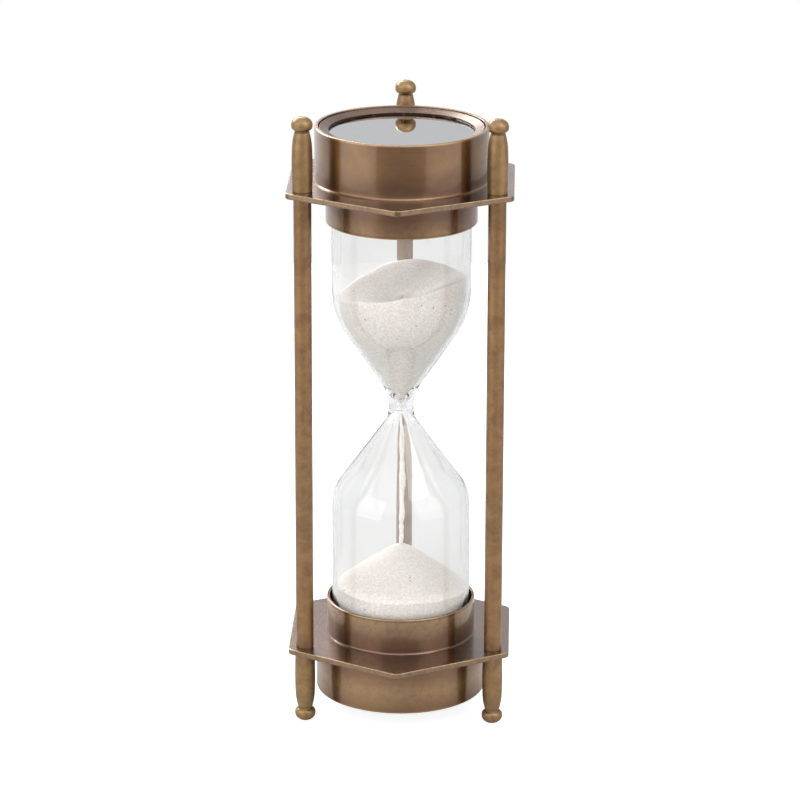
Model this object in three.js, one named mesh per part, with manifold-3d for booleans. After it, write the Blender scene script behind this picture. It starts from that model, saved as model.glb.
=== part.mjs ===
// An hourglass: one blown double bulb of glass, held between two hexagonal brass plates by three
// rods. Each plate carries a collar that seats the bulb and, on its outer side, a drum with a
// mirror in it. Turned finial nuts hold each plate to the rods, and their tips are the feet.
// Millimetres, +Z up. The origin is at the middle of the base, on the surface that it stands on.
import * as THREE from 'three';
import { mergeVertices } from 'three/addons/utils/BufferGeometryUtils.js';
import Module from 'manifold-3d';

// Driving dimensions.
const height = 180;               // from the lower finial tips to the upper ones
const gap = 0.25;                 // clearance between pieces that touch
const finialLength = 21.2;        // from a plate's outer face to the tip
const plateThickness = 1.6;
const plateCornerRadius = 36.87;  // hexagon, across its corners / 2
const plateCornerRounding = 1.2;
const postCircleRadius = 31.42;
const postRadius = 2.53;
const studRadius = 1.5;           // the rod's threaded end
const studReach = 8;              // how far a stud goes into its finial
const boreSpare = 1;              // and how much deeper the finial's bore is
const finialFootRadius = 2.82;
const finialBellyRadius = 3;      // of the corner that the belly's curve rounds off
const finialBellyLevel = 8.5;     // above the plate
const finialBellyRounding = 3.4;
const finialShoulderRadius = 2.72;
const finialShoulderDrop = 2.6;   // below the neck
const finialShoulderRounding = 2.2;
const finialNeckRadius = 1.98;
const finialNeckRounding = 0.3;
const buttonRadius = 3;
const buttonHeight = 3.8;
const buttonLowerRounding = 0.7;
const buttonCrownDrop = 1.3;      // where the button's side turns over into its crown
const buttonCrownRounding = 0.95;
const tipRadius = 1.5;            // the flat at the very tip, which the hourglass stands on
const drumRadius = 24.7;
const drumHeight = 15.5;
const drumWall = 1.1;
const drumFloor = 1.6;
const drumEdge = 0.3;             // rounding of its two outer edges
const ledgeWidth = 2;
const collarRadius = 21.6;
const collarWall = 0.8;
const collarHeight = 10.6;
const mirrorThickness = 2;
const cardThickness = 0.8;
const bezelInnerRadius = 20.7;
const bezelRecess = 0.3;          // the ring's outer edge lies this far inside the drum's mouth
const bezelFall = 0.85;           // and its face falls this far towards the mirror
const bezelEdge = 0.5;            // its thickness at its inner edge
const seatRadius = 14;            // cork disc between a plate and the bulb's end
const seatThickness = 2;
const bulbRadius = 20.1;
const bulbWall = 1.2;
const neckRadius = 3.66;
const neckBore = 0.95;
const endCorner = 9;              // rounding of the bulb's closed ends
const outerBends = { low: 2.6, high: 4.2 };  // rounding below and above the neck, outside
const innerBends = { low: 1.2, high: 1.8 };  // and inside
const lowerShoulder = 4;          // how far each shoulder's rounding runs along the glass
const upperShoulder = 7.5;
const lowerTaper = 0.1;           // how much the tube has drawn in by its shoulder
const upperTaper = 0.2;
// Each cone's radius at one level, and how much wider it is a millimetre higher.
const lowerCone = { level: 70, radius: 16.91, slope: -0.7233 };
const upperCone = { level: 104, radius: 9.6, slope: 0.675 };
const fillingHoleRadius = 3;
const stopperReach = 2;
const stopperTaper = 0.3;
const streamRadius = 0.6;
const streamTop = 93.4;
const pileSlope = 0.73;           // tangent of the sand's angle of repose
const pileTop = 49.2;
const pileRounding = 1.8;
const pileRounds = [5, 3, 1.5, 0];  // radii at which the rounded top has a point
const upperSandLevel = 127.6;     // on the axis, of the plane through the rim of the crater
const upperSandTilt = 9;          // degrees, up towards +X
const craterDepth = 7;
const craterFloor = 1;

// Heights that follow from them, for the upper end; the lower end is the same one turned over.
const plateOuterFace = height - finialLength;
const plateInnerFace = plateOuterFace - plateThickness;
const drumFace = plateOuterFace + drumHeight;
const bulbEnd = plateInnerFace - gap - seatThickness - gap;
const bezelFoot = drumFace - bezelRecess - bezelFall - bezelEdge;
const mirrorFoot = bezelFoot - gap - mirrorThickness;
const cardFoot = mirrorFoot - gap - cardThickness;

// How finely round things are faceted.
const roundSides = 48;
const bulbSides = 36;
const slimSides = 16;
const curveSteps = 4;

const material = (color, roughness, metalness) =>
  new THREE.MeshStandardMaterial({ color, roughness, metalness });
const brass = material(0x9a7648, 0.35, 0.9);
const darkBrass = material(0x74543c, 0.4, 0.9);
const silvered = material(0xc5c6c8, 0.05, 1);
const card = material(0x8a8377, 0.9, 0);
const glass = material(0xe8ecea, 0.05, 0);
const cork = material(0xa9825a, 0.9, 0);
const sand = material(0xe9dfd8, 1, 0);

const group = new THREE.Group();

function piece(name, geometry, surface, parent = group) {
  const mesh = new THREE.Mesh(geometry, surface);
  mesh.name = name;
  parent.add(mesh);
  return mesh;
}

// Turns an outline about Z. A corner is [radius, height, reach]: reach is how far its rounding
// runs along the two lines that meet there, and a corner without one stays sharp.
function turned(corners, sides = roundSides, steps = curveSteps) {
  const points = corners.map(([radius, level]) => new THREE.Vector2(radius, level));
  const towards = (from, to, reach) => to.clone().sub(from).setLength(reach).add(from);
  const path = new THREE.Path();
  path.moveTo(points[0].x, points[0].y);
  for (let i = 1; i < points.length; i += 1) {
    const reach = corners[i][2] || 0;
    const corner = points[i];
    if (reach > 0) {
      const start = towards(corner, points[i - 1], reach);
      const end = towards(corner, points[i + 1], reach);
      path.lineTo(start.x, start.y);
      path.quadraticCurveTo(corner.x, corner.y, end.x, end.y);
    } else {
      path.lineTo(corner.x, corner.y);
    }
  }
  const outline = path.getPoints(steps);
  const distinct = outline.filter((p, i) => i === 0 || p.distanceTo(outline[i - 1]) > 1e-6);
  return new THREE.LatheGeometry(distinct, sides).rotateX(Math.PI / 2);
}

// Joins and cuts closed meshes.
const wasm = await Module();
wasm.setup();

function solid(geometry) {
  const bare = geometry.clone();
  bare.deleteAttribute('normal');
  bare.deleteAttribute('uv');
  const merged = mergeVertices(bare, 1e-4);
  return new wasm.Manifold(new wasm.Mesh({
    numProp: 3,
    vertProperties: new Float32Array(merged.attributes.position.array),
    triVerts: new Uint32Array(merged.index.array),
  }));
}

function meshOf(manifold) {
  const { vertProperties, triVerts } = manifold.getMesh();
  const geometry = new THREE.BufferGeometry();
  geometry.setAttribute('position', new THREE.BufferAttribute(vertProperties, 3));
  geometry.setIndex(new THREE.BufferAttribute(triVerts, 1));
  return geometry;
}

// The three posts stand 120 degrees apart, just inside every other corner of the plates.
const posts = [
  { side: 'left', angle: -150 },
  { side: 'right', angle: -30 },
  { side: 'back', angle: 90 },
].map(({ side, angle }) => {
  const turn = THREE.MathUtils.degToRad(angle);
  return { side, x: postCircleRadius * Math.cos(turn), y: postCircleRadius * Math.sin(turn) };
});

// A hexagon of sheet brass with rounded corners, bored for the three studs.
function plateGeometry() {
  const corner = (i) => {
    const turn = THREE.MathUtils.degToRad(30 + 60 * i);
    return new THREE.Vector2(Math.cos(turn), Math.sin(turn)).multiplyScalar(plateCornerRadius);
  };
  const outline = new THREE.Shape();
  for (let i = 0; i < 6; i += 1) {
    const point = corner(i);
    const start = corner(i - 1).sub(point).setLength(plateCornerRounding).add(point);
    const end = corner(i + 1).sub(point).setLength(plateCornerRounding).add(point);
    if (i === 0) outline.moveTo(start.x, start.y);
    else outline.lineTo(start.x, start.y);
    outline.quadraticCurveTo(point.x, point.y, end.x, end.y);
  }
  outline.closePath();
  const hole = ({ x, y }) => new THREE.Path().absarc(x, y, studRadius + gap, 0, 2 * Math.PI);
  outline.holes = posts.map(hole);
  const sheet = { depth: plateThickness, bevelEnabled: false, curveSegments: 8 };
  return new THREE.ExtrudeGeometry(outline, sheet).translate(0, 0, plateInnerFace);
}

// A cast and turned cup, open outwards, with a ledge inside for the card and the mirror.
function drumGeometry() {
  const floor = plateOuterFace + gap;
  const bore = drumRadius - drumWall;
  const ledge = cardFoot - gap;
  return turned([
    [0, floor],
    [drumRadius, floor, drumEdge],
    [drumRadius, drumFace, drumEdge],
    [bore, drumFace],
    [bore, ledge],
    [bore - ledgeWidth, ledge],
    [bore - ledgeWidth, floor + drumFloor],
    [0, floor + drumFloor],
  ], roundSides, 2);
}

const disc = (radius, low, thick) => turned([
  [0, low],
  [radius, low],
  [radius, low + thick],
  [0, low + thick],
]);

const ring = (inner, outer, low, high) => turned([
  [inner, low],
  [outer, low],
  [outer, high],
  [inner, high],
  [inner, low],
]);

// A dished ring, pressed into the drum's mouth: its face falls from its outer edge to its inner.
const bezelGeometry = (outer) => turned([
  [bezelInnerRadius, bezelFoot],
  [outer, bezelFoot],
  [outer, drumFace - bezelRecess],
  [bezelInnerRadius, bezelFoot + bezelEdge],
  [bezelInnerRadius, bezelFoot],
]);

// A long slim nut with a neck and a button tip, bored and threaded from its foot.
function finialGeometry() {
  const foot = plateOuterFace + gap;
  const bore = studRadius + gap;
  const boreEnd = plateOuterFace + studReach + boreSpare;
  const neck = height - buttonHeight;
  return turned([
    [0, boreEnd],
    [bore, boreEnd],
    [bore, foot],
    [finialFootRadius, foot],
    [finialBellyRadius, plateOuterFace + finialBellyLevel, finialBellyRounding],
    [finialShoulderRadius, neck - finialShoulderDrop, finialShoulderRounding],
    [finialNeckRadius, neck, finialNeckRounding],
    [buttonRadius, neck + buttonLowerRounding, buttonLowerRounding],
    [buttonRadius, height - buttonCrownDrop, buttonCrownRounding],
    [tipRadius, height],
    [0, height],
  ], slimSides, 2);
}

// One end of the hourglass, made for the top.
function addEnd(end) {
  const assembly = new THREE.Group();
  const mirrorFit = drumRadius - drumWall - gap;
  piece(`${end}_plate`, plateGeometry(), darkBrass, assembly);
  piece(`${end}_drum`, drumGeometry(), brass, assembly);
  piece(`${end}_backing_card`, disc(mirrorFit, cardFoot, cardThickness), card, assembly);
  piece(`${end}_mirror`, disc(mirrorFit, mirrorFoot, mirrorThickness), silvered, assembly);
  piece(`${end}_bezel_ring`, bezelGeometry(mirrorFit), brass, assembly);
  const collarInner = collarRadius - collarWall;
  const collar = ring(collarInner, collarRadius, plateInnerFace - collarHeight, plateInnerFace - gap);
  piece(`${end}_collar`, collar, brass, assembly);
  const seat = disc(seatRadius, plateInnerFace - gap - seatThickness, seatThickness);
  piece(`${end}_cork_seat`, seat, cork, assembly);
  for (const { side, x, y } of posts) {
    const placed = end === 'top' ? side : { left: 'right', right: 'left', back: 'back' }[side];
    piece(`${end}_finial_${placed}`, finialGeometry(), brass, assembly).position.set(x, y, 0);
  }
  if (end === 'bottom') {
    assembly.rotation.y = Math.PI;
    assembly.position.z = height;
  }
  group.add(assembly);
}

// A round rod shouldered against both plates, with a threaded stud at each end.
function postGeometry() {
  const shoulder = plateInnerFace - gap;
  const studEnd = plateOuterFace + studReach;
  return turned([
    [0, height - studEnd],
    [studRadius, height - studEnd],
    [studRadius, height - shoulder],
    [postRadius, height - shoulder],
    [postRadius, shoulder],
    [studRadius, shoulder],
    [studRadius, studEnd],
    [0, studEnd],
  ], slimSides);
}

// The level at which a cone, lying inset inside the bulb's outer surface, has a radius.
const coneLevel = (cone, inset, radius) =>
  cone.level + (radius + inset * Math.hypot(1, cone.slope) - cone.radius) / cone.slope;

// The outline of the bulb, or of the space inside it, from its lower end to its upper one.
// inset is how far it lies inside the outer surface, waist its radius at the neck, and
// neckBends how far the rounding runs below and above the neck.
function bulbOutline(inset, waist, neckBends, endOpening) {
  const wide = bulbRadius - inset;
  const lowEnd = height - bulbEnd + inset;
  const highEnd = bulbEnd - inset;
  const lowWide = wide - lowerTaper;
  const highWide = wide - upperTaper;
  return [
    [0, lowEnd],
    [wide, lowEnd, endCorner - inset],
    [lowWide, coneLevel(lowerCone, inset, lowWide), lowerShoulder],
    [waist, coneLevel(lowerCone, inset, waist), neckBends.low],
    [waist, coneLevel(upperCone, inset, waist), neckBends.high],
    [highWide, coneLevel(upperCone, inset, highWide), upperShoulder],
    [highWide, highEnd, endCorner - inset],
    [endOpening, highEnd],
  ];
}

// One closed surface: up the outside, in through the filling hole and down the inside.
function glassGeometry() {
  const outside = bulbOutline(0, neckRadius, outerBends, fillingHoleRadius);
  const inside = bulbOutline(bulbWall, neckBore, innerBends, fillingHoleRadius);
  return turned([...outside, ...inside.reverse()], bulbSides);
}

// A short taper plug, flush with the bulb's end and reaching a little way inside.
function stopperGeometry() {
  const plug = fillingHoleRadius - gap;
  const low = bulbEnd - bulbWall - stopperReach;
  return turned([[0, low], [plug - stopperTaper, low], [plug, bulbEnd], [0, bulbEnd]], slimSides);
}

// Sand fills the space inside the bulb, less the clearance, from one level to another.
function sandBetween(low, high) {
  const space = solid(turned(bulbOutline(bulbWall + gap, neckBore - gap, innerBends, 0), bulbSides, 3));
  return space.intersect(solid(disc(bulbRadius, low, high - low)));
}

// The upper sand's top is a shallow crater inside a tilted rim.
function upperSandGeometry() {
  const rim = bulbRadius - bulbWall;
  const crater = turned([
    [0, -craterDepth],
    [craterFloor, -craterDepth],
    [rim, 0],
    [2 * rim, 0],
    [2 * rim, height],
    [0, height],
  ], bulbSides);
  crater.rotateY(THREE.MathUtils.degToRad(-upperSandTilt)).translate(0, 0, upperSandLevel);
  return meshOf(sandBetween(streamTop + gap, bulbEnd).subtract(solid(crater)));
}

// The lower sand is a cone at its angle of repose, rounded where the stream lands.
function lowerSandGeometry() {
  const surface = (radius) => pileTop + pileRounding - Math.hypot(pileSlope * radius, pileRounding);
  const wide = 2 * bulbRadius;
  const slope = [wide, ...pileRounds].map((radius) => [radius, surface(radius)]);
  const cone = turned([[0, -height], [wide, -height], ...slope], bulbSides);
  return meshOf(sandBetween(height - bulbEnd, pileTop).intersect(solid(cone)));
}

addEnd('top');
addEnd('bottom');
for (const { side, x, y } of posts) {
  piece(`post_${side}`, postGeometry(), brass).position.set(x, y, 0);
}
piece('glass_bulb', glassGeometry(), glass);
piece('filling_stopper', stopperGeometry(), cork);
piece('upper_sand', upperSandGeometry(), sand);
piece('lower_sand', lowerSandGeometry(), sand);
piece('falling_sand', disc(streamRadius, pileTop + gap, streamTop - pileTop - gap), sand);

export default group;
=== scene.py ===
"""An antique brass hourglass with a mirrored drum at each end, its sand running.

The script follows the hourglass as it is put together, from the plates outwards. Metres, +Z up.
"""
import math

import bpy
import numpy as np
from mathutils import Matrix, Vector


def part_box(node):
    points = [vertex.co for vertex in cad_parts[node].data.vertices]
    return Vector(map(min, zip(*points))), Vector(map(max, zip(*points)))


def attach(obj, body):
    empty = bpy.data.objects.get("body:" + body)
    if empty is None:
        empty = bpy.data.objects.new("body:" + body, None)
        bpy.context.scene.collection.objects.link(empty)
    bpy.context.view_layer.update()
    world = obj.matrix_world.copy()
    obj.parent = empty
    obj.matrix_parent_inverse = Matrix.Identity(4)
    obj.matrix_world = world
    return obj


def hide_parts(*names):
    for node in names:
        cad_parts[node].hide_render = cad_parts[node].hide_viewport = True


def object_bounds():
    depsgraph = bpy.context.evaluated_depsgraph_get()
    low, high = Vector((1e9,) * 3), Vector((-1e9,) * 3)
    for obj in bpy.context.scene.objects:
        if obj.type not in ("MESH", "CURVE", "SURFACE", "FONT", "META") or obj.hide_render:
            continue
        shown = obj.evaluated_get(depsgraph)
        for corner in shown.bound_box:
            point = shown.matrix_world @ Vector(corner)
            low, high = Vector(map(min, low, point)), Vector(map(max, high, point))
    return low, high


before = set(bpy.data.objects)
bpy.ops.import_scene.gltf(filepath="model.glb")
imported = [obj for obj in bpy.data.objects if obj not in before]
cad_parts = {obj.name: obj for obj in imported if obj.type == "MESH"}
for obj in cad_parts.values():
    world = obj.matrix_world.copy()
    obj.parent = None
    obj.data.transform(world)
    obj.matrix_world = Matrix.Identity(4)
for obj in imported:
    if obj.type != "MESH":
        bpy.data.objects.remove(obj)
cad_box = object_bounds()
MM = 0.001


# ---------------------------------------------------------------- The room
# A pale round table top in a white studio. Two large soft lamps stand in front, one on each side,
# one hangs overhead, and one behind on the left lights the top of the sand. A small high one
# shows in the glass. What is seen directly or through glass is lifted to white.

def node(tree, kind, *values, **properties):
    """Adds a node and sets its properties, then sets or links its enabled inputs in order.

    A value of None leaves that input as it is.
    """
    made = tree.nodes.new(kind)
    for key, value in properties.items():
        setattr(made, key, value)
    for socket, value in zip([s for s in made.inputs if s.enabled], values):
        if isinstance(value, bpy.types.NodeSocket):
            tree.links.new(value, socket)
        elif value is not None:
            socket.default_value = value
    return made


def new_material(name, **sockets):
    """Starts a material with values on its shader's sockets: returns it, its tree and its shader."""
    made = bpy.data.materials.new(name)
    made.use_nodes = True
    shader = made.node_tree.nodes["Principled BSDF"]
    for socket, value in sockets.items():
        shader.inputs[socket.replace("_", " ")].default_value = value
    return made, made.node_tree, shader


def work_out(tree, operation, *values, clamp=False):
    """One step of arithmetic on up to three values."""
    return node(tree, "ShaderNodeMath", *values, operation=operation, use_clamp=clamp).outputs[0]


def spread(tree, value, *bounds):
    """Maps a value from one range evenly to another, and holds it at both ends."""
    return node(tree, "ShaderNodeMapRange", value, *bounds).outputs["Result"]


white = (1, 1, 1, 1)
floor_reach = 0.48
floor_sides = 96
floor_glow = 0.8
floor_mesh = bpy.data.meshes.new("floor")
floor_turn = np.linspace(0, 2 * np.pi, floor_sides, endpoint=False)
floor_rim = np.stack([np.cos(floor_turn), np.sin(floor_turn), np.zeros(floor_sides)], axis=1)
floor_mesh.from_pydata((floor_reach * floor_rim).tolist(), [], [list(range(floor_sides))])
floor_paint, floor_tree, floor_shader = new_material(
    "pale_floor", Base_Color=(0.57, 0.57, 0.57, 1), Roughness=0.8, Emission_Color=white)
floor_ray = node(floor_tree, "ShaderNodeLightPath").outputs
floor_seen = work_out(floor_tree, "MULTIPLY", floor_ray["Is Camera Ray"], floor_glow)
floor_tree.links.new(floor_seen, floor_shader.inputs["Emission Strength"])
floor_mesh.materials.append(floor_paint)
floor = bpy.data.objects.new("floor", floor_mesh)
bpy.context.scene.collection.objects.link(floor)

# The camera stands about a metre away and looks down on the upper mirror, with one corner of
# the plates turned nearly towards it.
camera_turn = math.radians(1.957)
camera_place = Vector((-0.338, -994.035, 412.370)) * MM
camera_down = math.radians(17.809)
camera_roll = math.radians(0.142)
camera_data = bpy.data.cameras.new("camera")
camera_data.sensor_width = 36
camera_data.lens = 163.07
camera = bpy.data.objects.new("camera", camera_data)
camera.matrix_world = (
    Matrix.Rotation(camera_turn, 4, "Z")
    @ Matrix.Translation(camera_place)
    @ Matrix.Rotation(math.pi / 2 - camera_down, 4, "X")
    @ Matrix.Rotation(camera_roll, 4, "Z")
)
bpy.context.scene.collection.objects.link(camera)
bpy.context.scene.camera = camera
bpy.context.scene.view_settings.view_transform = "Standard"


lamp_aim = Vector((0, 0, 0.1))


def soft_lamp(name, azimuth, elevation, distance, width, height, power):
    """A rectangular lamp aimed at the middle of the glass, at an angle from the camera's side."""
    data = bpy.data.lights.new(name, "AREA")
    data.shape = "RECTANGLE"
    data.size = width
    data.size_y = height
    data.energy = power
    lamp = bpy.data.objects.new(name, data)
    turn = math.radians(azimuth)
    rise = math.radians(elevation)
    away = Vector((math.sin(turn) * math.cos(rise), -math.cos(turn) * math.cos(rise), math.sin(rise)))
    lamp.location = lamp_aim + distance * away
    lamp.rotation_euler = away.to_track_quat("Z", "Y").to_euler()
    bpy.context.scene.collection.objects.link(lamp)


soft_lamp("lamp_left", -58, 14, 1.0, 1.1, 1.0, 3.8)
soft_lamp("lamp_right", 60, 14, 1.0, 1.1, 1.0, 2.8)
soft_lamp("lamp_over", 0, 80, 1.3, 1.2, 1.2, 4.0)
soft_lamp("lamp_back", -147, 31, 1.0, 0.9, 0.3, 6.2)
soft_lamp("lamp_high", 47, 52, 1.0, 0.6, 0.32, 1.3)

# The studio's walls are white behind the hourglass, whiter on the left. In front they are grey
# below the level of the table and white above it, and they are dark in the gaps at the sides.
world = bpy.data.worlds.new("studio")
world.use_nodes = True
bpy.context.scene.world = world
sky = world.node_tree
sky.nodes.clear()
outward = node(sky, "ShaderNodeSeparateXYZ", node(sky, "ShaderNodeTexCoord").outputs["Generated"]).outputs
gap_level, front_low, front_high = 0.50, 0.36, 1.2
back_left, back_right = 0.85, 0.56
glass_level = 0.93
front = spread(sky, outward["Z"], 0.02, 0.25, front_low, front_high)
front_share = spread(sky, outward["Y"], -0.4, -0.05, 1.0, 0.0)
front_mix = node(sky, "ShaderNodeMix", front_share, gap_level, front, data_type="FLOAT")
back_share = spread(sky, outward["Y"], 0.28, 0.36, 0.0, 1.0)
back_level = spread(sky, outward["X"], -0.4, 0.5, back_left, back_right)
back_part = work_out(sky, "MULTIPLY", back_share, back_level)
wall_level = work_out(sky, "MAXIMUM", front_mix.outputs["Result"], back_part)
sky_ray = node(sky, "ShaderNodeLightPath").outputs
unscattered = work_out(sky, "LESS_THAN", sky_ray["Diffuse Depth"], 0.5)
through_level = work_out(sky, "MULTIPLY", unscattered, glass_level)
seen_through = work_out(sky, "MULTIPLY", sky_ray["Is Transmission Ray"], through_level)
sky_seen = work_out(sky, "MAXIMUM", sky_ray["Is Camera Ray"], seen_through)
sky_glow = node(sky, "ShaderNodeBackground", white, work_out(sky, "MAXIMUM", wall_level, sky_seen))
node(sky, "ShaderNodeOutputWorld", sky_glow.outputs[0])


# ---------------------------------------------------------------- The plates
# Two hexagons cut by hand from 1.6 mm sheet brass, with their corners and edges eased by a
# file, then darkened and lacquered. Three holes near the corners take the rods' studs.

def corner_curve(before, corner, after, reach, steps=8):
    """Rounds a corner: it leaves both lines reach before the corner, along a quadratic curve.

    A point is (1-t)^2 of the start, plus 2t(1-t) of the corner, plus t^2 of the end.
    """
    before, corner, after = (np.asarray(p, float) for p in (before, corner, after))
    start = corner + (before - corner) / np.linalg.norm(before - corner) * reach
    end = corner + (after - corner) / np.linalg.norm(after - corner) * reach
    t = np.linspace(0, 1, steps)[:, None]
    return (1 - t) ** 2 * start + 2 * t * (1 - t) * corner + t ** 2 * end


def new_piece(name, points, faces, materials, wear_and_painted_light=None):
    """Makes a smooth-shaded object from arrays, in the scene."""
    mesh = bpy.data.meshes.new(name)
    mesh.from_pydata(points.tolist(), [], faces)
    mesh.shade_smooth()
    if wear_and_painted_light is not None:
        # The value stored here is wear on the brass, partly painted light, and painted light and shade on
        # the sand.
        mesh.attributes.new("wear_and_painted_light", "FLOAT", "POINT").data.foreach_set("value", wear_and_painted_light)
    for material in materials:
        mesh.materials.append(material)
    made = bpy.data.objects.new(name, mesh)
    bpy.context.scene.collection.objects.link(made)
    return made


def grid_faces(rows, columns):
    """Quads of a grid of rows by columns points, closed round its columns."""
    index = np.arange(rows * columns).reshape(rows, columns)
    onward = np.roll(index, -1, axis=1)
    quads = np.stack([index[:-1], onward[:-1], onward[1:], index[1:]], axis=-1)
    return quads.reshape(-1, 4).tolist()


def noise(tree, place, *values):
    """A cloudy noise over a place: its values are the scale, the detail, the roughness and so on."""
    return node(tree, "ShaderNodeTexNoise", place, *values).outputs["Fac"]


def blend(tree, share, first, second):
    """Mixes two colours, by a share of the second from 0 to 1."""
    return node(tree, "ShaderNodeMix", share, first, second, data_type="RGBA").outputs["Result"]


def relief(tree, shader, height, strength, distance):
    """Raises the surface by a height, with a Bump node that feeds the shader's normal."""
    bump = node(tree, "ShaderNodeBump")
    bump.inputs["Strength"].default_value = strength
    bump.inputs["Distance"].default_value = distance
    tree.links.new(height, bump.inputs["Height"])
    tree.links.new(bump.outputs[0], shader.inputs["Normal"])


def brass_effect():
    """Node group of lacquered antique brass: its colour, roughness and height over the surface.

    Blotches of a slow noise mix the golden and the brown lacquer, fine lines of a noise that is
    stretched along the tool's path lighten and darken it, and small dark spots lie on it. Where
    the wear value is high a broken noise shows the bright metal, partly painted light on the
    lower drum and collar; below nought it is blackened.
    """
    slow_scale, quick_scale = 60.0, 4200.0
    soot = (0.05, 0.02, 0.010, 1)
    group = bpy.data.node_groups.new("aged_brass", "ShaderNodeTree")
    for name, kind in (("Vector", "Vector"), ("Golden", "Color"), ("Brown", "Color"), ("Bright", "Color"),
                       ("Wear_and_painted_light", "Float"), ("Blotch", "Float"), ("Line", "Float"), ("Gloss", "Float"),
                       ("Mottle", "Float")):
        group.interface.new_socket(name, in_out="INPUT", socket_type="NodeSocket" + kind)
    for name, kind in (("Color", "Color"), ("Roughness", "Float"), ("Height", "Float")):
        group.interface.new_socket(name, in_out="OUTPUT", socket_type="NodeSocket" + kind)
    given = node(group, "NodeGroupInput").outputs
    place = given["Vector"]
    apart = node(group, "ShaderNodeSeparateXYZ", place).outputs
    flat = node(group, "ShaderNodeCombineXYZ", apart["X"], apart["Y"], 0.0)
    radius = node(group, "ShaderNodeVectorMath", flat.outputs[0], operation="LENGTH").outputs["Value"]
    along = node(group, "ShaderNodeMath", apart["Z"], radius, operation="ADD").outputs[0]
    slow_x = work_out(group, "MULTIPLY", apart["X"], slow_scale)
    slow_y = work_out(group, "MULTIPLY", apart["Y"], slow_scale)
    quick_z = work_out(group, "MULTIPLY", along, quick_scale)
    track = node(group, "ShaderNodeCombineXYZ", slow_x, slow_y, quick_z).outputs[0]
    lines = noise(group, track, 1.0, 4.0, 0.65)
    line_tone = spread(group, lines, 0.3, 0.7, -1.0, 1.0)
    blotches = noise(group, place, given["Mottle"], 5.0, 0.62, 2.0, 0.4)
    patches = spread(group, blotches, 0.35, 0.65, 0.0, 1.0)
    share = work_out(group, "MULTIPLY", patches, given["Blotch"])
    toned = node(group, "ShaderNodeVectorMath", blend(group, share, given["Golden"], given["Brown"]),
                 operation="SCALE")
    swing = work_out(group, "MULTIPLY_ADD", line_tone, given["Line"], 1.0)
    group.links.new(swing, toned.inputs["Scale"])
    spots = spread(group, noise(group, place, 900.0, 2.0, 0.5), 0.68, 0.76, 0.0, 0.45)
    spotted = blend(group, spots, toned.outputs[0], given["Brown"])
    chips = spread(group, noise(group, place, 520.0, 4.0, 0.7), 0.36, 0.56, 0.55, 1.0)
    worn_and_painted_light = work_out(group, "MULTIPLY", given["Wear_and_painted_light"], chips)
    rubbed_and_painted_light = blend(group, worn_and_painted_light, spotted, given["Bright"])
    sooted = work_out(group, "MULTIPLY", given["Wear_and_painted_light"], -0.8, clamp=True)
    colour = blend(group, sooted, rubbed_and_painted_light, soot)
    uneven = work_out(group, "MULTIPLY_ADD", patches, 0.1, given["Gloss"])
    rough = work_out(group, "MULTIPLY_ADD", line_tone, 0.05, uneven)
    node(group, "NodeGroupOutput", colour, rough, lines)
    return group


aged_brass = brass_effect()
lacquer_ior = 1.58


def brass(name, golden, brown, bright, blotch=0.8, line=0.05, gloss=0.3, mottle=75.0, stretch=0.0,
          centre=(0, 0), coat=1.0, coat_gloss=0.1, metal=1.0):
    """Lacquered brass: aged metal under a clear coat. centre is the axis that it was turned about."""
    made, tree, shader = new_material(
        name, Metallic=metal, Anisotropic=stretch, Anisotropic_Rotation=0.25,
        Coat_Weight=coat, Coat_Roughness=coat_gloss, Coat_IOR=lacquer_ior)
    place = node(tree, "ShaderNodeTexCoord").outputs["Object"]
    centred = node(tree, "ShaderNodeMapping", place, (-centre[0], -centre[1], 0)).outputs[0]
    wear_and_painted_light = node(tree, "ShaderNodeAttribute", attribute_name="wear_and_painted_light").outputs["Fac"]
    effect = node(tree, "ShaderNodeGroup", node_tree=aged_brass)
    values = (centred, (*golden, 1), (*brown, 1), (*bright, 1), wear_and_painted_light, blotch, line, gloss, mottle)
    for socket, value in zip(effect.inputs, values):
        if isinstance(value, bpy.types.NodeSocket):
            tree.links.new(value, socket)
        else:
            socket.default_value = value
    tree.links.new(effect.outputs["Color"], shader.inputs["Base Color"])
    tree.links.new(effect.outputs["Roughness"], shader.inputs["Roughness"])
    if stretch:
        tangent = node(tree, "ShaderNodeTangent", direction_type="RADIAL", axis="Z")
        tree.links.new(tangent.outputs[0], shader.inputs["Tangent"])
    relief(tree, shader, effect.outputs["Height"], 0.2, 0.03 * MM)
    return made


plate_brass = brass("plate_brass", (0.15, 0.074, 0.046), (0.082, 0.036, 0.024), (0.50, 0.33, 0.16),
                    line=0.04, gloss=0.24)
plate_corner_ease = 1.6 * MM
plate_edge_ease = 0.2 * MM
worn_band = 0.08 * MM


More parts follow.
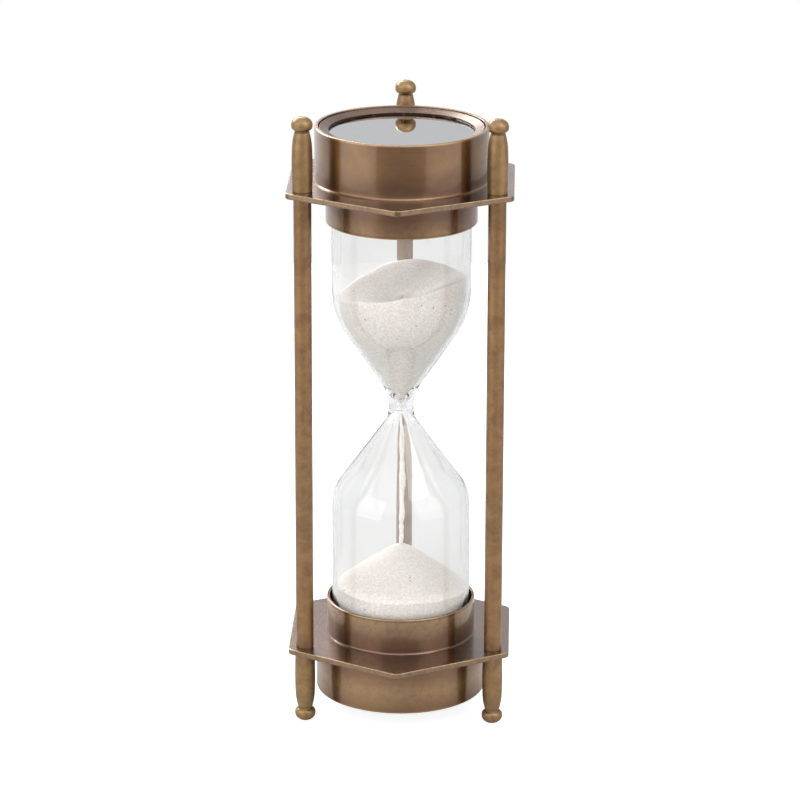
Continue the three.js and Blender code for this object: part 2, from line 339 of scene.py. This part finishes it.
def add_plate(end):
    """A hexagon: its outline, shrunk towards the axis, is carried along the plate's section.

    A point is the outline's point times 1 - inset / apothem, at the section's height. The section
    runs from the axis along the lower face, round both eased edges and back along the upper one.
    """
    low, high = (np.array(corner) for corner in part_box(f"{end}_plate"))
    apothem = high[0]
    reach = apothem / math.cos(math.pi / 6)
    angles = np.radians(30 + 60 * np.arange(-1, 7))
    corners = reach * np.stack([np.cos(angles), np.sin(angles)], axis=1)
    rounded = [corner_curve(corners[i - 1], corners[i], corners[i + 1], plate_corner_ease)
               for i in range(1, 7)]
    across = np.linspace(0.02, 0.98, 24)[:, None]
    sides = [a[-1] + (b[0] - a[-1]) * across for a, b in zip(rounded, rounded[1:] + rounded[:1])]
    outline = np.concatenate([part for pair in zip(rounded, sides) for part in pair])
    base = [(0, low[2]), (apothem, low[2]), (apothem, high[2]), (0, high[2])]
    under = corner_curve(base[0], base[1], base[2], plate_edge_ease)
    over = corner_curve(base[1], base[2], base[3], plate_edge_ease)
    shelf = np.array([(apothem - plate_edge_ease - worn_band, low[2])])
    side = np.array([(apothem, low[2] + plate_edge_ease + worn_band),
                     (apothem, high[2] - plate_edge_ease - worn_band)])
    inner = np.array([(0.5 * apothem, low[2]), (0.9 * apothem, low[2])])
    lift = np.array([(0, high[2] - low[2])])
    section = np.concatenate([inner, shelf, under, side, over, shelf + lift, inner[::-1] + lift])
    section_wear = np.concatenate([[0, 0, 0], np.full(8, 0.2), [0.4, 0.4], np.full(8, 0.8), [0, 0, 0]])
    shrink = section[:, 0] / apothem
    points = np.empty((len(section), len(outline), 3))
    points[..., :2] = shrink[:, None, None] * outline[None]
    points[..., 2] = section[:, 1, None]
    faces = grid_faces(len(section), len(outline))
    count = len(outline)
    faces.append(list(range(count))[::-1])
    faces.append(list(range(len(section) * count - count, len(section) * count)))
    wear_and_painted_light = np.repeat(section_wear, count)
    plate = new_piece(f"visual_{end}_plate", points.reshape(-1, 3), faces, [plate_brass], wear_and_painted_light)
    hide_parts(f"{end}_plate")
    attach(plate, "root")


for end in ("top", "bottom"):
    add_plate(end)


# ---------------------------------------------------------------- The drums
# A shallow cast cup on the outer side of each plate, turned bright, then browned and lacquered,
# so fine tool lines run round it. Its mouth has a ledge inside for the card and the mirror.

def section_of(corners, fade=0.25 * MM, steps=8):
    """The section of a turned piece: (radius, height, wear) points round its corners.

    A corner is (radius, height, reach, wear): a quadratic curve rounds it over reach, the wear is
    held on that curve, and it falls to nothing over a short fade on the straight runs beside it.
    On the lower drum and collar this value is partly painted light.
    """
    rows = []
    places = [np.array(corner[:2], float) for corner in corners]
    for i, (_, _, reach, wear_and_painted_light) in enumerate(corners):
        if i in (0, len(corners) - 1) or reach == 0:
            rows.append([(*places[i], wear_and_painted_light)])
            continue
        bend = corner_curve(places[i - 1], places[i], places[i + 1], reach, steps)
        before = corner_curve(places[i - 1], places[i], places[i + 1], reach + fade)[:1]
        after = corner_curve(places[i - 1], places[i], places[i + 1], reach + fade)[-1:]
        rows.append(np.column_stack([before, [0.0]]))
        rows.append(np.column_stack([bend, np.full(len(bend), wear_and_painted_light)]))
        rows.append(np.column_stack([after, [0.0]]))
    return np.concatenate(rows)


def turned_piece(name, section, sides, materials, centre=(0, 0), wobble=None):
    """Turns a section about an upright axis; a section that starts on the axis is closed there.

    A point at section row i and turn a lies at centre + radius_i (cos a, sin a), at height_i.
    wobble, if given, is a function of (radius, height, turn) that returns a new radius and height.
    """
    turn = np.linspace(0, 2 * np.pi, sides, endpoint=False)
    radius, height = (np.repeat(section[:, k:k + 1], sides, axis=1) for k in (0, 1))
    if wobble:
        radius, height = wobble(radius, height, turn[None])
    x, y = centre[0] + radius * np.cos(turn), centre[1] + radius * np.sin(turn)
    points = np.stack([x, y, height], axis=-1)
    wear_and_painted_light = np.repeat(section[:, 2], sides)
    index = np.arange(len(section) * sides).reshape(-1, sides)
    on_axis = np.flatnonzero(section[:, 0] < 1e-9)
    index[on_axis] = index[on_axis, :1]
    looped = bool(np.allclose(section[0, :2], section[-1, :2])) and not len(on_axis)
    if looped:
        index[-1] = index[0]
    onward = np.roll(index, -1, axis=1)
    quads = np.stack([index[:-1], onward[:-1], onward[1:], index[1:]], axis=-1).reshape(-1, 4)
    kept, compact = np.unique(quads, return_inverse=True)
    compact = compact.reshape(-1, 4)
    at_foot = compact[:, 0] == compact[:, 1]
    at_tip = compact[:, 2] == compact[:, 3]
    plain = ~(at_foot | at_tip)
    faces = compact[plain].tolist()
    faces += compact[at_foot & ~at_tip][:, 1:].tolist()
    faces += compact[at_tip & ~at_foot][:, :3].tolist()
    return new_piece(name, points.reshape(-1, 3)[kept], faces, materials, wear_and_painted_light[kept])


def span(name):
    """The radius of a turned CAD node about its own axis, and its lowest and highest level."""
    low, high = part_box(name)
    return (high[0] - low[0]) / 2, low[2], high[2]


def settle(piece, name):
    """The finished piece stands for its CAD node and rides on the one body."""
    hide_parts(name)
    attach(piece, "root")


def flipped(section, end):
    """The section as it is for the top end, or turned over about mid-height for the bottom end."""
    if end == "top":
        return section
    over = section[::-1].copy()
    over[:, 1] = top_level - over[:, 1]
    return over


top_level = cad_box[1][2]
golden_lacquer = (0.27, 0.147, 0.060)
brown_lacquer = (0.186, 0.080, 0.035)
bright_metal = (0.50, 0.335, 0.155)
drum_brass = brass("drum_brass", golden_lacquer, brown_lacquer, bright_metal,
                   line=0.05, gloss=0.33, stretch=0.45)
drum_wall = 1.1 * MM
drum_ledge = 2.0 * MM
drum_edge = 0.35 * MM
solder_fillet = 0.35 * MM
mouth_depth = 0.5 * MM
drum_radius, drum_foot, drum_face = span("top_drum")
card_foot = span("top_backing_card")[1]
plate_top = span("top_plate")[2]
drum_bore = drum_radius - drum_wall
drum_floor = drum_foot + 1.6 * MM
# The lower drum's wall is given bright metal that the upper's lacks: painted light for how the lower end
# is lit.
drum_painted_light = {"top": 0.0, "bottom": 0.5}
for end in ("top", "bottom"):
    drum_section = section_of([
        (0, plate_top, 0, 0),
        (drum_radius + solder_fillet, plate_top, 0, 0),
        (drum_radius, plate_top + solder_fillet, 0.2 * MM, 0),
        (drum_radius, plate_top + 1.5 * MM, 0, -0.45),
        (drum_radius, plate_top + 9 * MM, 0, drum_painted_light[end]),
        (drum_radius, drum_face, drum_edge, 0.6),
        (drum_bore, drum_face, 0.15 * MM, 0.2),
        (drum_bore, drum_face - mouth_depth, 0, -1),
        (drum_bore, card_foot, 0, -1),
        (drum_bore - drum_ledge, card_foot, 0, 0),
        (drum_bore - drum_ledge, drum_floor, 0.5 * MM, 0),
        (0, drum_floor, 0, 0),
    ])
    drum = turned_piece(f"visual_{end}_drum", flipped(drum_section, end), 256, [drum_brass])
    settle(drum, f"{end}_drum")


# ---------------------------------------------------------------- The mirrors and their rings
# A round of silvered glass lies on grey card on the drum's ledge. A dished ring, pressed into
# the drum's mouth, holds it: its face falls from a hair below the drum's rim to the mirror.

mirror_glass, mirror_tree, mirror_shader = new_material("mirror_glass", Metallic=1.0)
mirror_place = node(mirror_tree, "ShaderNodeTexCoord").outputs["Object"]
haze = noise(mirror_tree, mirror_place, 140.0, 4.0, 0.6)
silver = blend(mirror_tree, haze, (0.57, 0.585, 0.60, 1), (0.63, 0.64, 0.65, 1))
mirror_tree.links.new(silver, mirror_shader.inputs["Base Color"])
smear = spread(mirror_tree, haze, 0.35, 0.75, 0.012, 0.05)
mirror_tree.links.new(smear, mirror_shader.inputs["Roughness"])

backing_card, card_tree, card_shader = new_material("grey_card", Roughness=0.92)
card_place = node(card_tree, "ShaderNodeTexCoord").outputs["Object"]
fibre = noise(card_tree, card_place, 1400.0, 5.0, 0.7)
pulp = blend(card_tree, fibre, (0.27, 0.25, 0.22, 1), (0.42, 0.39, 0.34, 1))
card_tree.links.new(pulp, card_shader.inputs["Base Color"])

bezel_brass = brass("bezel_brass", (0.22, 0.13, 0.09), (0.13, 0.075, 0.055), bright_metal, line=0.04,
                    gloss=0.42, coat=0.5, coat_gloss=0.24)
bezel_outer, bezel_foot, bezel_face = span("top_bezel_ring")
bezel_inner = 20.7 * MM
bezel_edge = 0.5 * MM
mirror_radius, mirror_foot, mirror_face = span("top_mirror")
mirror_bevel = 0.3 * MM
ring_foot = mirror_face + 0.02 * MM
for end in ("top", "bottom"):
    disc_section = section_of([
        (0, mirror_foot, 0, 0),
        (mirror_radius, mirror_foot, mirror_bevel, 0),
        (mirror_radius, mirror_face, mirror_bevel, 0),
        (0, mirror_face, 0, 0),
    ])
    mirror = turned_piece(f"visual_{end}_mirror", flipped(disc_section, end), 192, [mirror_glass])
    settle(mirror, f"{end}_mirror")
    ring_section = section_of([
        (bezel_inner, ring_foot, 0, -1),
        (bezel_outer, ring_foot, 0, -1),
        (bezel_outer, bezel_face, 0.2 * MM, -0.5),
        (bezel_inner, bezel_foot + bezel_edge, 0.1 * MM, 0.1),
        (bezel_inner, bezel_foot + 0.6 * bezel_edge, 0, -1),
        (bezel_inner, ring_foot, 0, -1),
    ])
    ring = turned_piece(f"visual_{end}_bezel_ring", flipped(ring_section, end), 256, [bezel_brass])
    settle(ring, f"{end}_bezel_ring")
    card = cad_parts[f"{end}_backing_card"]
    card.data.materials.clear()
    card.data.materials.append(backing_card)


# ---------------------------------------------------------------- The collars
# Short brass tubes soldered to the inner sides of the plates, turned and lacquered like the
# drums. The bulb's ends sit in them, and their mouths and edges are rubbed.

collar_brass = brass("collar_brass", (0.19, 0.096, 0.047), (0.13, 0.057, 0.029), bright_metal,
                     line=0.05, gloss=0.33, stretch=0.45)
collar_wall = 0.8 * MM
collar_outer, collar_mouth = span("top_collar")[:2]
collar_bore = collar_outer - collar_wall
plate_under = span("top_plate")[1]
# The collar walls show some rubbed metal, the lower more than the upper: that difference is painted light
# for how the lower end is lit.
collar_wear_and_painted_light = {"top": 0.35, "bottom": 0.6}
for end in ("top", "bottom"):
    collar_section = section_of([
        (collar_bore, plate_under, 0, 0),
        (collar_bore, collar_mouth, 0.2 * MM, 0.5),
        (collar_outer, collar_mouth, 0.3 * MM, 0.7),
        (collar_outer, collar_mouth + 0.9 * MM, 0, collar_wear_and_painted_light[end]),
        (collar_outer, plate_under - 4 * MM, 0, collar_wear_and_painted_light[end] - 0.45),
        (collar_outer, plate_under - solder_fillet, 0.2 * MM, 0),
        (collar_outer + solder_fillet, plate_under, 0, 0),
        (collar_bore, plate_under, 0, 0),
    ])
    collar = turned_piece(f"visual_{end}_collar", flipped(collar_section, end), 256, [collar_brass])
    settle(collar, f"{end}_collar")


# ---------------------------------------------------------------- The cork seats
# A thin disc cut from sheet cork lies loose between each plate and the end of the bulb, to
# cushion the glass.

cork, cork_tree, cork_shader = new_material("cork", Roughness=0.9)
cork_place = node(cork_tree, "ShaderNodeTexCoord").outputs["Object"]
grains = node(cork_tree, "ShaderNodeTexVoronoi", cork_place, 900.0)
grain_tone = node(cork_tree, "ShaderNodeSeparateXYZ", grains.outputs["Color"]).outputs["X"]
cork_tint = blend(cork_tree, grain_tone, (0.33, 0.19, 0.09, 1), (0.56, 0.38, 0.22, 1))
cork_tree.links.new(cork_tint, cork_shader.inputs["Base Color"])
relief(cork_tree, cork_shader, grains.outputs["Distance"], 1.0, 0.1 * MM)

seat_radius, seat_foot, seat_top = span("top_cork_seat")
for end in ("top", "bottom"):
    seat_section = section_of([
        (0, seat_foot, 0, 0),
        (seat_radius, seat_foot, 0.3 * MM, 0),
        (seat_radius, seat_top, 0.3 * MM, 0),
        (0, seat_top, 0, 0),
    ])
    seat = turned_piece(f"visual_{end}_cork_seat", flipped(seat_section, end), 96, [cork])
    settle(seat, f"{end}_cork_seat")


# ---------------------------------------------------------------- The bulb
# One piece of clear blown glass with a 1.2 mm wall, drawn in to a thick neck with a fine bore.
# The lower shoulder is tighter than the upper. A hole in the upper end took the sand.

bulb_radius = 20.1 * MM
bulb_wall = 1.2 * MM
bulb_low, bulb_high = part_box("glass_bulb")[0][2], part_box("glass_bulb")[1][2]
hole_radius = 3.0 * MM
lower_cone = (70 * MM, 16.91 * MM, -0.7233)
upper_cone = (104 * MM, 9.6 * MM, 0.675)


def bulb_section(inset, neck, lower_bend, upper_bend, opening):
    """The bulb's outline, lying inset inside its outer surface, from its lower end to its upper.

    Each cone's radius at a level is its radius at a given level plus its slope times the height
    above that, less the inset measured along the radius.
    """
    def cone_level(cone, radius):
        level, at_level, slope = cone
        return level + (radius + inset * math.hypot(1, slope) - at_level) / slope

    wide = bulb_radius - inset
    low_wide = wide - 0.1 * MM
    high_wide = wide - 0.2 * MM
    end_bend = 9 * MM - inset
    return [
        (0, bulb_low + inset, 0, 0),
        (wide, bulb_low + inset, end_bend, 0),
        (low_wide, cone_level(lower_cone, low_wide), 4 * MM, 0),
        (neck, cone_level(lower_cone, neck), lower_bend, 0),
        (neck, cone_level(upper_cone, neck), upper_bend, 0),
        (high_wide, cone_level(upper_cone, high_wide), 7.5 * MM, 0),
        (high_wide, bulb_high - inset, end_bend, 0),
        (opening, bulb_high - inset, 0, 0),
    ]


outer_corners = bulb_section(0, 3.66 * MM, 2.6 * MM, 4.2 * MM, hole_radius)
inner_corners = bulb_section(bulb_wall, 0.95 * MM, 1.2 * MM, 1.8 * MM, hole_radius)

bulb_glass, glass_tree, glass_shader = new_material(
    "bulb_glass", Base_Color=(0.96, 0.965, 0.965, 1), Roughness=0.0, IOR=1.5, Transmission_Weight=0.97)
glass_place = node(glass_tree, "ShaderNodeTexCoord").outputs["Object"]
relief(glass_tree, glass_shader, noise(glass_tree, glass_place, 45.0, 1.0, 0.4), 0.08, 0.6 * MM)
lamp_ray = node(glass_tree, "ShaderNodeLightPath").outputs["Is Shadow Ray"]
clear = node(glass_tree, "ShaderNodeBsdfTransparent", (0.96, 0.96, 0.96, 1))
let_through = node(glass_tree, "ShaderNodeMixShader", lamp_ray, glass_shader.outputs[0], clear.outputs[0])
glass_tree.links.new(let_through.outputs[0], glass_tree.nodes["Material Output"].inputs["Surface"])

bulb_outline = section_of(outer_corners + inner_corners[::-1], fade=0.1 * MM, steps=28)
bulb = turned_piece("visual_glass_bulb", bulb_outline, 192, [bulb_glass])
settle(bulb, "glass_bulb")

stopper_radius, stopper_foot, stopper_top = span("filling_stopper")
stopper = turned_piece("visual_filling_stopper", section_of([
    (0, stopper_foot, 0, 0),
    (stopper_radius - 0.3 * MM, stopper_foot, 0.3 * MM, 0),
    (stopper_radius, stopper_top, 0.3 * MM, 0),
    (0, stopper_top, 0, 0),
]), 64, [cork])
settle(stopper, "filling_stopper")


# ---------------------------------------------------------------- The sand
# Fine pale sand with a few dark grains. The upper heap lies against the glass with a crater in
# its tilted top, a ragged stream falls through the neck, and the lower heap is a rounded cone.

sand, sand_tree, sand_shader = new_material(
    "sand", Roughness=0.95, Specular_IOR_Level=0.2, Subsurface_Weight=0.45,
    Subsurface_Radius=(1.0, 0.93, 0.86), Subsurface_Scale=2.5 * MM)
sand_place = node(sand_tree, "ShaderNodeTexCoord").outputs["Object"]
clumps = noise(sand_tree, sand_place, 260.0, 4.0, 0.6)
pale = blend(sand_tree, clumps, (0.83, 0.76, 0.70, 1), (0.92, 0.87, 0.815, 1))
grit = noise(sand_tree, sand_place, 1700.0, 3.0, 0.75)
grit_tone = spread(sand_tree, grit, 0.3, 0.7, 0.75, 1.13)
# This attribute carries the heaps' painted light and shade, which scale the sand's colour.
painted_heap_light = node(sand_tree, "ShaderNodeAttribute", attribute_name="wear_and_painted_light").outputs["Fac"]
graded = node(sand_tree, "ShaderNodeVectorMath", pale, operation="SCALE")
sand_tree.links.new(work_out(sand_tree, "MULTIPLY", grit_tone, painted_heap_light), graded.inputs["Scale"])
fleck = node(sand_tree, "ShaderNodeTexVoronoi", sand_place, 640.0)
fleck_pick = node(sand_tree, "ShaderNodeSeparateXYZ", fleck.outputs["Color"]).outputs["X"]
fleck_rare = work_out(sand_tree, "GREATER_THAN", fleck_pick, 0.93)
fleck_core = spread(sand_tree, fleck.outputs["Distance"], 0.1, 0.24, 0.85, 0.0)
fleck_mask = work_out(sand_tree, "MULTIPLY", fleck_rare, fleck_core)
flecked = blend(sand_tree, fleck_mask, graded.outputs[0], (0.25, 0.19, 0.15, 1))
sand_tree.links.new(flecked, sand_shader.inputs["Base Color"])
relief(sand_tree, sand_shader, grit, 0.6, 0.18 * MM)

sand_clearance = 0.05 * MM
inner_line = section_of(inner_corners, fade=0.1 * MM)


def bulb_bore(level):
    """The bulb's inner radius at a level, less the clearance, read along its inner outline."""
    order = np.argsort(inner_line[:, 1], kind="stable")
    return np.interp(level, inner_line[order, 1], inner_line[order, 0]) - sand_clearance


def heap(name, rim_level, surface, low, rows, crown_rows, painted_light_tones, sides=192):
    """A heap of sand: its side follows the glass from low up to the rim, its top follows surface.

    The side's points at turn a lie at the bulb's bore, from low up to rim_level(a), a little closer
    together near the rim. The top's points lie at the rim's radius times 1 to 0, at the level
    that surface gives for x, y, that factor and the rim's level.
    The tones are painted light and shade: how much paler or darker the sand is painted at the
    foot, half way up the side, at the rim and on top.
    """
    turn = np.linspace(0, 2 * np.pi, sides, endpoint=False)
    rim = rim_level(turn)
    share = np.linspace(0, 1, rows)[:, None] ** 0.8
    side_level = low + (rim[None] - low) * share
    side_radius = bulb_bore(side_level)
    side_radius[0] = 0
    inward = np.linspace(1, 0, crown_rows)[1:, None]
    top_radius = side_radius[-1][None] * inward
    x, y = top_radius * np.cos(turn), top_radius * np.sin(turn)
    crown_level = surface(x, y, np.repeat(inward, sides, axis=1), rim[None])
    radius = np.concatenate([side_radius, top_radius])
    level = np.concatenate([side_level, crown_level])
    foot, middle, rim_row, crown = 0, rows / 2, rows - 2, rows + 8
    painted_light = np.interp(np.arange(len(radius)), [foot, middle, rim_row, crown], painted_light_tones)
    section = np.column_stack([radius[:, 0], level[:, 0], painted_light])
    return turned_piece(name, section, sides, [sand], wobble=lambda r, h, t: (radius, level))


def upper_rim(turn):
    """The upper heap stands higher on the right: a tilt, plus a saddle and a wave in three."""
    tilt = 3.14 * np.cos(turn) + 0.17 * np.sin(turn)
    saddle = -0.88 * np.cos(2 * turn) - 0.26 * np.sin(2 * turn)
    wave = -0.66 * np.sin(3 * turn) + 0.06 * np.sin(11 * turn)
    return (128.2 + tilt + saddle + wave) * MM


def upper_surface(x, y, share, rim):
    """A funnel with a pit: a hyperbola eases the fall from the rim, and a steeper cone is the pit."""
    funnel_level, lip, pit_share, pit_depth = 120.6 * MM, 0.2, 0.24, 4.5 * MM
    fall = 1 - share
    eased = (np.hypot(fall, lip) - lip) / (math.hypot(1, lip) - lip)
    pit = pit_depth * np.clip(1 - share / pit_share, 0, 1)
    ridge = 0.12 * MM * np.sin(x / (2.1 * MM) + 0.7) * np.sin(y / (1.7 * MM)) * share * fall * 4
    return rim - (rim - funnel_level) * eased - pit + ridge


def lower_rim(turn):
    """The lower heap meets the glass nearly level: one slight tilt and a ripple in four."""
    return (37.1 + 0.5 * np.cos(turn + 2.6) + 0.2 * np.sin(4 * turn)) * MM


def lower_surface(x, y, share, rim):
    """A hyperbola of revolution, eased by a cube of the share so that it ends at the rim.

    Its level is the sharp cone's tip less the root of (slope r)^2 + rounding^2.
    """
    slope, rounding = 0.73, 1.8 * MM
    sharp_tip = pile_top + rounding
    cone = sharp_tip - np.hypot(slope * np.hypot(x, y), rounding)
    edge = sharp_tip - math.hypot(slope * bulb_bore(37 * MM), rounding)
    return cone + (rim - edge) * share ** 3


pile_foot, pile_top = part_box("lower_sand")[0][2], 49.2 * MM
neck_mouth = 92.5 * MM
# The upper heap is painted paler towards its foot, and the lower heap darker, most on its top: painted
# light and shade.
upper_heap = heap("visual_upper_sand", upper_rim, upper_surface, neck_mouth, 110, 60,
                  (1.12, 1.06, 1.02, 1.0))
settle(upper_heap, "upper_sand")
lower_heap = heap("visual_lower_sand", lower_rim, lower_surface, pile_foot, 50, 60,
                  (0.93, 0.93, 0.93, 0.76))
settle(lower_heap, "lower_sand")

random = np.random.default_rng(7)
stream_rows, knot_count = 160, 40
stream_radius = span("falling_sand")[0]
stream_foot, stream_head = 49.0 * MM, 92.6 * MM
belly_foot, belly_head = 50 * MM, 86 * MM
stream_level = np.linspace(stream_foot, stream_head, stream_rows)
knot_level = np.linspace(stream_foot, stream_head, knot_count)
swell, edge_swell = random.uniform(-1, 1, (2, knot_count))
thickness = 0.75 + 0.25 * np.interp(stream_level, knot_level, swell)
narrow = np.where(stream_level > belly_head, 0.55, thickness)
stream_profile = np.column_stack([stream_radius * narrow, stream_level, np.ones(stream_rows)])
stream_profile[[0, -1], 0] = 0


def ragged(radius, level, turn):
    """The stream's surface wanders: its radius swings by a fifth, and it bellies to one side.

    The belly is the root of half a sine from belly_foot to belly_head, times a ragged factor and
    times (1 + cos a) / 2 at turn a.
    """
    swing = 0.14 * np.sin(3 * turn + level / (1.3 * MM)) + 0.08 * np.sin(7 * turn - level / (0.7 * MM))
    rise = np.clip((level - belly_foot) / (belly_head - belly_foot), 0, 1)
    belly = 0.9 * MM * np.sin(np.pi * rise) ** 0.5
    ragged_edge = 0.72 + 0.28 * np.interp(level, knot_level, edge_swell)
    return radius * (1 + swing) + belly * ragged_edge * (1 + np.cos(turn)) / 2, level


stream = turned_piece("visual_falling_sand", stream_profile, 20, [sand], wobble=ragged)
settle(stream, "falling_sand")


# ---------------------------------------------------------------- The rods
# Three round 5 mm brass rods, held between the plates by a 3 mm threaded stud turned on each
# end. The back one is painted a little darker than the other two, as painted shade.

stud_radius = 1.5 * MM
# The back rod's colours are scaled down: painted shade.
post_painted_shades = {"left": 1.0, "right": 1.0, "back": 0.84}
post_golden, post_brown = np.array([(0.315, 0.173, 0.065), (0.165, 0.082, 0.037)])


def axis_of(name):
    """Where the upright axis of a CAD node stands."""
    low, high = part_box(name)
    return ((low[0] + high[0]) / 2, (low[1] + high[1]) / 2)


for side, painted_shade in post_painted_shades.items():
    node_name = f"post_{side}"
    centre = axis_of(node_name)
    post_brass = brass(f"post_brass_{side}", painted_shade * post_golden, painted_shade * post_brown, bright_metal,
                       blotch=0.65, gloss=0.42, mottle=260.0, centre=centre, coat=0.5, coat_gloss=0.2,
                       metal=0.8)
    post_radius, stud_low, stud_high = span(node_name)
    post_section = section_of([
        (0, stud_low, 0, 0),
        (stud_radius, stud_low, 0.3 * MM, 0),
        (stud_radius, top_level - plate_under, 0, 0),
        (post_radius, top_level - plate_under, 0.15 * MM, 0.3),
        (post_radius, plate_under, 0.15 * MM, 0.3),
        (stud_radius, plate_under, 0, 0),
        (stud_radius, stud_high, 0.3 * MM, 0),
        (0, stud_high, 0, 0),
    ])
    post = turned_piece(f"visual_{node_name}", post_section, 72, [post_brass], centre)
    settle(post, node_name)


# ---------------------------------------------------------------- The finials
# Six turned brass nuts, screwed on the studs: a slim body with a swell, a neck, and a button at
# the tip whose crown is rubbed a little brighter. The lower three are the feet.

finial_tip, finial_foot = top_level, plate_top
finial_belly = button_radius = 3.0 * MM
stud_hole, stud_hole_end = 1.65 * MM, finial_foot + 9 * MM
neck_level = finial_tip - 3.8 * MM
for end in ("top", "bottom"):
    for side in post_painted_shades:
        node_name = f"{end}_finial_{side}"
        centre = axis_of(node_name)
        finial_brass = brass(f"finial_brass_{end}_{side}", (0.36, 0.22, 0.09), (0.21, 0.115, 0.052),
                             (0.33, 0.215, 0.095), gloss=0.44, mottle=260.0, centre=centre,
                             coat=0.4, coat_gloss=0.2, metal=0.8)
        finial_section = section_of([
            (0, stud_hole_end, 0, 0),
            (stud_hole, stud_hole_end, 0.3 * MM, 0),
            (stud_hole, finial_foot, 0, 0),
            (2.82 * MM, finial_foot, 0.15 * MM, 0.4),
            (finial_belly, finial_foot + 8.5 * MM, 3.4 * MM, 0),
            (2.72 * MM, neck_level - 2.6 * MM, 2.2 * MM, 0),
            (1.98 * MM, neck_level, 0.35 * MM, -0.5),
            (button_radius, neck_level + 0.6 * MM, 0.7 * MM, 0),
            (button_radius, finial_tip - 1.2 * MM, 0.9 * MM, 0.15),
            (1.5 * MM, finial_tip, 0.8 * MM, 0.5),
            (0, finial_tip, 0, 0.6),
        ], fade=0.1 * MM)
        finial = turned_piece(f"visual_{node_name}", flipped(finial_section, end), 72,
                              [finial_brass], centre)
        settle(finial, node_name)
